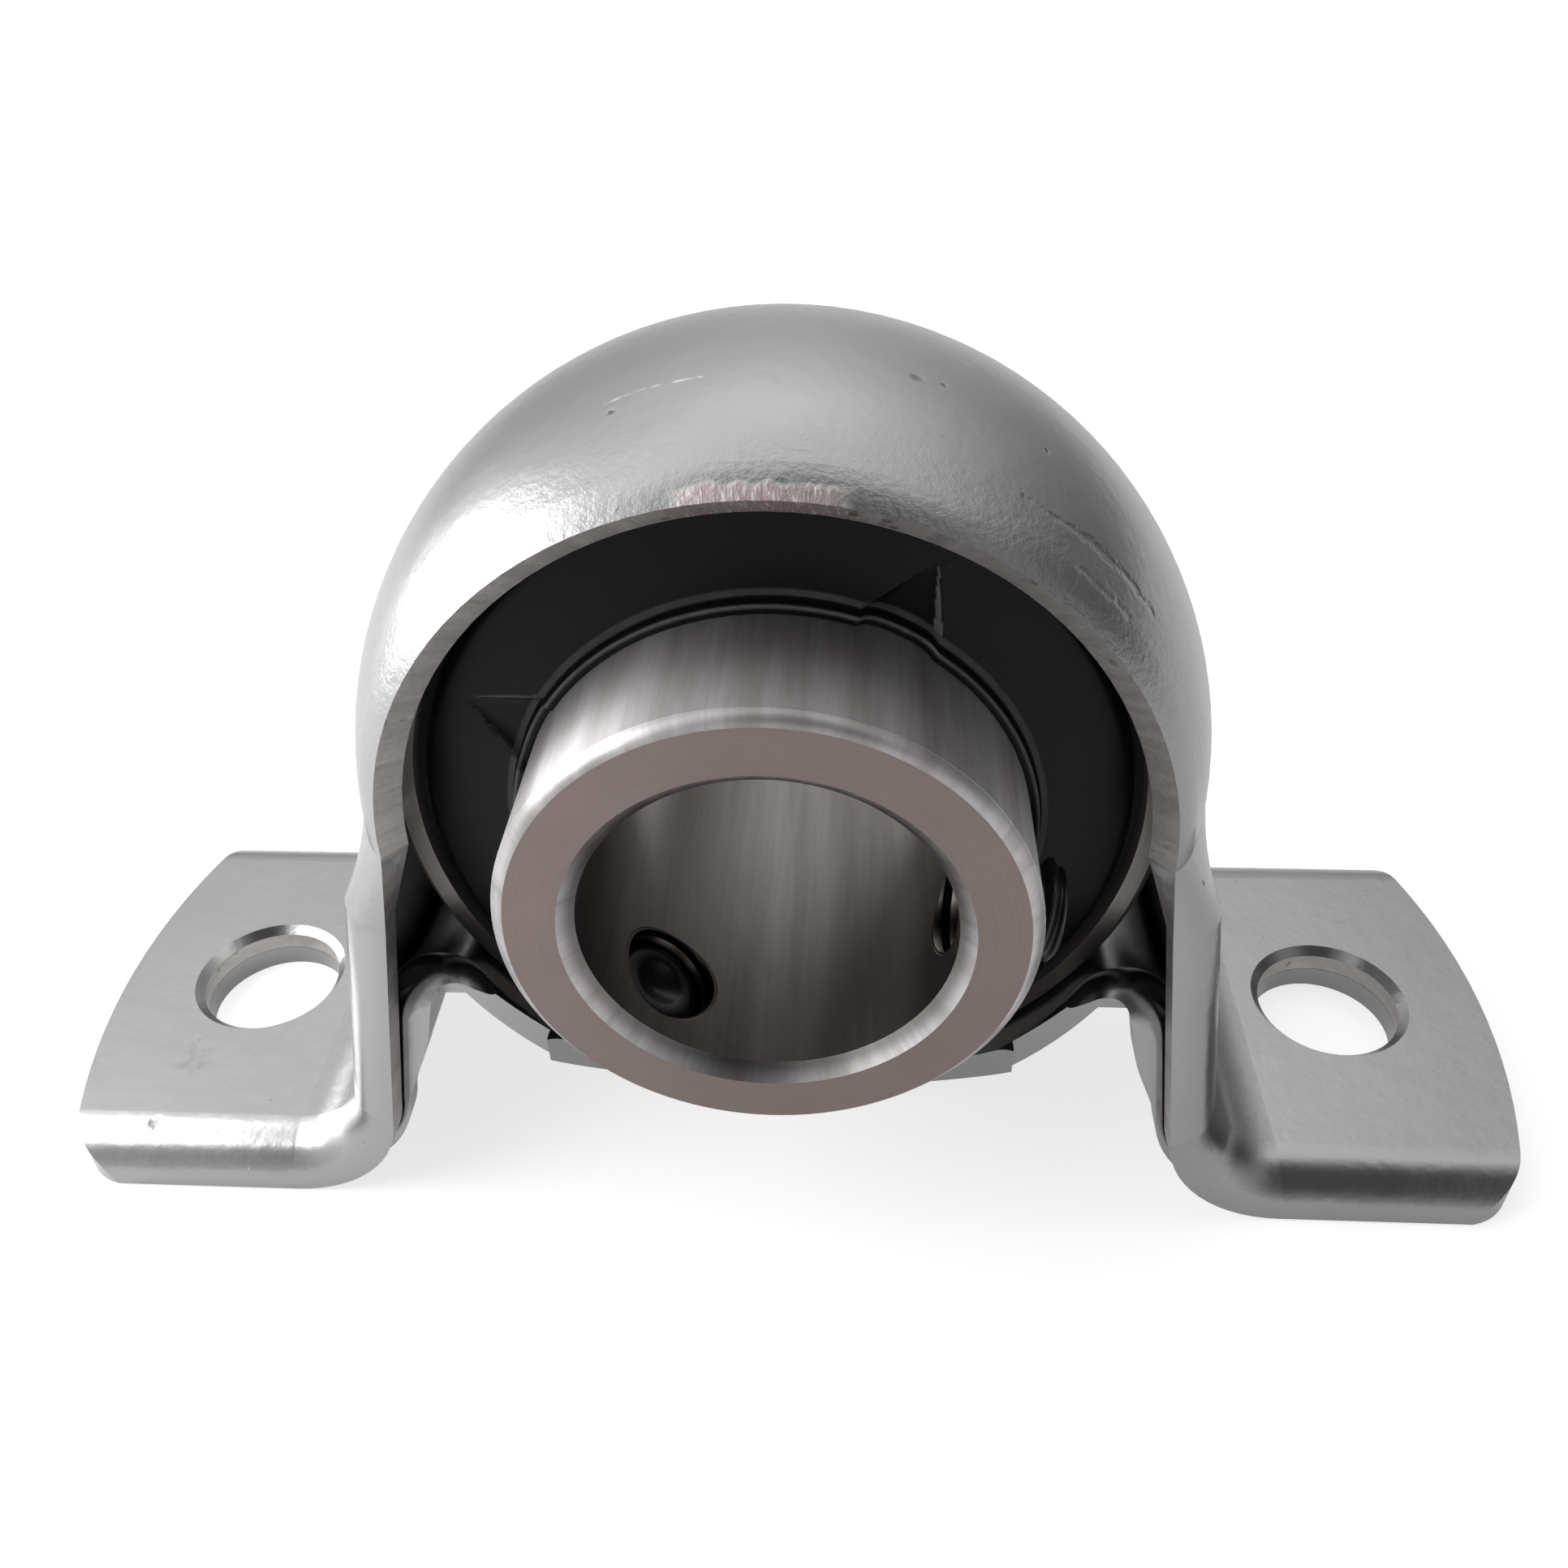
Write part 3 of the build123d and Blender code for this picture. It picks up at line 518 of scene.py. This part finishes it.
def add_piece(name, loops, closed, body, made, nodes):
    """Piece from loops of points, joined in turn; an open piece gets a fan on its first and last loop."""
    bm = bmesh.new()
    rows = [[bm.verts.new(Vector(point) * MM) for point in loop] for loop in loops]
    count = len(rows[0])
    pairs = list(zip(rows, rows[1:]))
    if closed:
        pairs.append((rows[-1], rows[0]))
    for first, second in pairs:
        for index in range(count):
            after = (index + 1) % count
            bm.faces.new((first[index], first[after], second[after], second[index]))
    if not closed:
        for row in (rows[0], rows[-1]):
            middle = bm.verts.new(sum((vert.co for vert in row), Vector()) / count)
            for index in range(count):
                bm.faces.new((row[index], row[(index + 1) % count], middle))
    bmesh.ops.recalc_face_normals(bm, faces=bm.faces)
    for item in bm.faces:
        item.smooth = True
    mesh = bpy.data.meshes.new(name)
    bm.to_mesh(mesh)
    bm.free()
    piece = bpy.data.objects.new(name, mesh)
    bpy.context.collection.objects.link(piece)
    dress(piece, made)
    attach(piece, body)
    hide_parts(*nodes)
    return piece


def dent_share(radius):
    """0 at a dent's tip and 1 at its base."""
    return (DENT_TIP_R - radius) / (DENT_TIP_R - DENT_BASE_R)


def across_dents(radius, share, turn):
    """For each dent, the place across it at a radius and an angle; its sides are at -1 and 1."""
    for degrees in DENT_ANGLES:
        off = (turn - math.radians(degrees) + math.pi) % (2 * math.pi) - math.pi
        yield off * radius / (DENT_HALF_WIDTH * share)


def dent_depth(radius, turn):
    """How far the pressed triangles push the slinger's web in at a radius and an angle."""
    share = min(1.0, max(0.0, dent_share(radius)))
    if share == 0.0:
        return 0.0
    return max((DENT_DEPTH * share * (1.0 - abs(aside) ** 5)
                for aside in across_dents(radius, share, turn) if abs(aside) < 1.0), default=0.0)


def slinger_wear_and_highlight(radius, reach, turn):
    """How far an edge is painted bright, partly as rubbed wear and partly as painted highlight: the collar's end,
    the bend at its foot and the sides of each dent, with one side of each dent far brighter as its lit side.
    """
    if reach > 9.36 and radius > 14.7:
        return 1.0
    if 8.4 < reach and 15.0 < radius < 15.3:
        return 0.55
    share = dent_share(radius)
    if 0.0 < share < 1.0 and reach > 7.6:
        for aside in across_dents(radius, share, turn):
            if -1.05 < aside < -0.80:
                return 0.9
            if share > 0.15 and 0.93 < aside < 1.03:
                return 0.35
    return 0.0


def add_slinger(name, side, node, made):
    outline = rounded_outline(SLINGER_SECTION, SLINGER_STEP)
    loops, edge_wear_and_highlight = [], []
    for index in range(SLINGER_TURNS):
        turn = 2 * math.pi * index / SLINGER_TURNS
        loops.append([(radius * math.cos(turn), side * (reach - dent_depth(radius, turn)),
                       SHAFT_HEIGHT + radius * math.sin(turn)) for radius, reach in outline])
        # Painted highlight and wear on the slinger's edges, kept on the mesh for its material.
        edge_wear_and_highlight += [slinger_wear_and_highlight(radius, reach, turn) for radius, reach in outline]
    piece = add_piece(name, loops, True, "inner_race", made, [node])
    piece.data.attributes.new("edge_wear_and_highlight", "FLOAT", "POINT").data.foreach_set("value", edge_wear_and_highlight)


def hexagon_radius(turn, across_flats):
    """Distance from the middle of a hexagon to its side in the direction of an angle."""
    return across_flats / 2 / math.cos((turn + math.pi / 6) % (math.pi / 3) - math.pi / 6)


def thread_radius(height, spin):
    """Radius of the screw's thread at a height and an angle around it, tapered at both ends."""
    phase = (height / THREAD_PITCH - spin / (2 * math.pi)) % 1.0
    wave = min(1.0, max(0.0, 2.6 * abs(phase - 0.5) - 0.15))
    crest = SCREW_R - THREAD_CLEARANCE - THREAD_DEPTH * (1.0 - wave)
    to_end = min(SCREW_OUTER - height, height - SCREW_INNER)
    return min(crest, SCREW_R - 0.55 + to_end)


def add_screw(name, degrees, body, node, made):
    """Set screw as loops from the bottom of its socket, over its outer end and down the thread to its point."""
    turn = math.radians(degrees)
    outward = Vector((math.cos(turn), 0.0, math.sin(turn)))
    aside = Vector((-math.sin(turn), 0.0, math.cos(turn)))
    along = Vector((0.0, 1.0, 0.0))
    middle = Vector((0.0, SCREW_Y, SHAFT_HEIGHT))

    def loop(height, radius_at):
        points = []
        for index in range(SCREW_TURNS):
            spin = 2 * math.pi * index / SCREW_TURNS
            radius = radius_at(spin)
            points.append(middle + outward * height + (aside * math.cos(spin) + along * math.sin(spin)) * radius)
        return points

    def circle(height, radius):
        return loop(height, lambda spin: radius)

    def hexagon(height, wider=0.0):
        return loop(height, lambda spin: hexagon_radius(spin, SOCKET_AF) + wider)

    bottom = SCREW_OUTER - SOCKET_DEPTH
    loops = [circle(bottom - 0.5, 0.25), hexagon(bottom, -0.05), hexagon(bottom + 0.06),
             hexagon(SCREW_OUTER - 0.22), hexagon(SCREW_OUTER - 0.08, 0.05),
             circle(SCREW_OUTER, 1.86), circle(SCREW_OUTER, SCREW_R - 0.72)]
    for part in range(THREAD_STEPS + 1):
        height = SCREW_OUTER - 0.05 - (SCREW_OUTER - SCREW_INNER - 0.1) * part / THREAD_STEPS
        loops.append(loop(height, lambda spin: thread_radius(height, spin)))
    loops += [circle(SCREW_INNER, SCREW_R - 0.75), circle(SCREW_INNER, 1.55),
              circle(SCREW_INNER + 0.08, 1.45), circle(SCREW_INNER + 0.7, 0.2)]
    add_piece(name, loops, False, body, made, [node])


def add_world():
    """White studio: a plain backdrop for the camera, with soft panels and dark flags for what is lit."""
    world = bpy.data.worlds.new("studio")
    bpy.context.scene.world = world
    world.use_nodes = True
    g = Graph(world.node_tree)
    direction = g.node("ShaderNodeTexCoord").outputs["Generated"]
    rays = g.node("ShaderNodeLightPath").outputs
    seen = g.most(rays["Is Camera Ray"], rays["Is Glossy Ray"], rays["Is Transmission Ray"])
    panels = 0.0
    for toward, narrowness, strength in PANELS:
        aim = tuple(Vector(toward).normalized())
        near = g.maths("MAXIMUM", g.vector("DOT_PRODUCT", direction, aim), 0.0)
        panels = g.maths("MULTIPLY_ADD", g.maths("POWER", near, narrowness), strength, panels)
    total = g.maths("ADD", g.scale_to(seen, STUDIO_SCATTERED, STUDIO_SEEN),
                    g.times(panels, g.rest(rays["Is Camera Ray"])))
    back = g.node("ShaderNodeBackground", {"Color": WHITE, "Strength": g.most(total, STUDIO_LEAST)})
    g.node("ShaderNodeOutputWorld", {"Surface": back.outputs[0]})


def add_floor():
    """White floor that takes soft shadows."""
    corners = [(x * FLOOR_HALF, y * FLOOR_HALF, 0) for x, y in ((-1, -1), (1, -1), (1, 1), (-1, 1))]
    mesh = bpy.data.meshes.new("floor")
    mesh.from_pydata(corners, [], [(0, 1, 2, 3)])
    floor = bpy.data.objects.new("floor", mesh)
    bpy.context.collection.objects.link(floor)
    made, g = material("pale_floor")
    rays = g.node("ShaderNodeLightPath").outputs
    mirrored = g.most(rays["Is Glossy Ray"], rays["Is Transmission Ray"])
    strength = g.most(g.times(rays["Is Camera Ray"], FLOOR_SEEN), g.times(mirrored, FLOOR_MIRRORED))
    diffuse = g.node("ShaderNodeBsdfDiffuse", {"Color": FLOOR_GREY})
    glow = g.node("ShaderNodeEmission", {"Color": WHITE, "Strength": strength})
    both = g.node("ShaderNodeAddShader", {0: diffuse.outputs[0], 1: glow.outputs[0]})
    g.node("ShaderNodeOutputMaterial", {"Surface": both.outputs[0]})
    mesh.materials.append(made)


def add_lamp(name, place_mm, target_mm, size_mm, watts):
    lamp = bpy.data.lights.new(name, "AREA")
    lamp.shape = "RECTANGLE"
    lamp.size, lamp.size_y = size_mm[0] * MM, size_mm[1] * MM
    lamp.energy = watts
    holder = bpy.data.objects.new(name, lamp)
    bpy.context.collection.objects.link(holder)
    holder.location = Vector(place_mm) * MM
    aim = Vector(target_mm) - Vector(place_mm)
    holder.rotation_euler = aim.to_track_quat("-Z", "Y").to_euler()


def add_camera():
    lens = bpy.data.cameras.new("camera")
    lens.lens = CAMERA_LENS
    lens.sensor_width = CAMERA_SENSOR
    lens.clip_start = 0.001
    lens.clip_end = 20.0
    camera = bpy.data.objects.new("camera", lens)
    bpy.context.collection.objects.link(camera)
    turn = (Matrix.Rotation(math.radians(CAMERA_YAW), 3, "Z")
            @ Matrix.Rotation(math.radians(-CAMERA_DOWN), 3, "X")
            @ Matrix.Rotation(math.radians(CAMERA_ROLL), 3, "Y"))
    level = Matrix(((1, 0, 0), (0, 0, -1), (0, 1, 0)))
    camera.matrix_world = Matrix.Translation(Vector(CAMERA_PLACE) * MM) @ (turn @ level).to_4x4()
    bpy.context.scene.camera = camera


zinc = zinc_material("bright_zinc", cut_edges=True)
cradle_zinc = zinc_material("bright_zinc_cradle", cut_edges=False)
steel = ring_material()
balls = plain_metal("polished_steel", BALL_DARK, BALL_LIGHT, 0.04, 0.10)
cage = plain_metal("pressed_steel", CAGE_DARK, CAGE_LIGHT, 0.28, 0.42)
slinger = black_material("black_slinger", SLINGER_DARK, SLINGER_LIGHT, 0.28, 0.40, 0.16, wear_and_highlight_amount=0.5)
screw = black_material("black_screw", SCREW_DARK, SCREW_LIGHT, 0.24, 0.38, 0.5)
rubber = black_material("seal_rubber", RUBBER_DARK, RUBBER_LIGHT, 0.55, 0.75, 0.3)

for group, made in (
    (("upper_housing",), zinc), (("lower_housing",), cradle_zinc), (("inner_ring", "outer_ring"), steel),
    ([f"ball_{number}" for number in range(1, 9)], balls), (("cage_front", "cage_rear", "cage_rivets"), cage),
    (("front_slinger", "rear_slinger"), slinger), (("front_seal", "rear_seal"), rubber),
    (("set_screw_1", "set_screw_2"), screw),
):
    for node in group:
        dress(NODES[node], made)

add_slinger("slinger_front_pressed", -1, "front_slinger", slinger)
add_slinger("slinger_rear_pressed", 1, "rear_slinger", slinger)
add_screw("set_screw_1_threaded", SCREW_ANGLES[0], "screw_1", "set_screw_1", screw)
add_screw("set_screw_2_threaded", SCREW_ANGLES[1], "screw_2", "set_screw_2", screw)

add_world()
add_floor()
add_lamp("key", (-330, 110, 120), (0, 0, 20), (110, 150), 0.5)
add_lamp("left_floor", (-135, -30, 90), (-115, -30, 0), (110, 110), 0.17)
add_camera()
bpy.context.scene.view_settings.view_transform = "Standard"
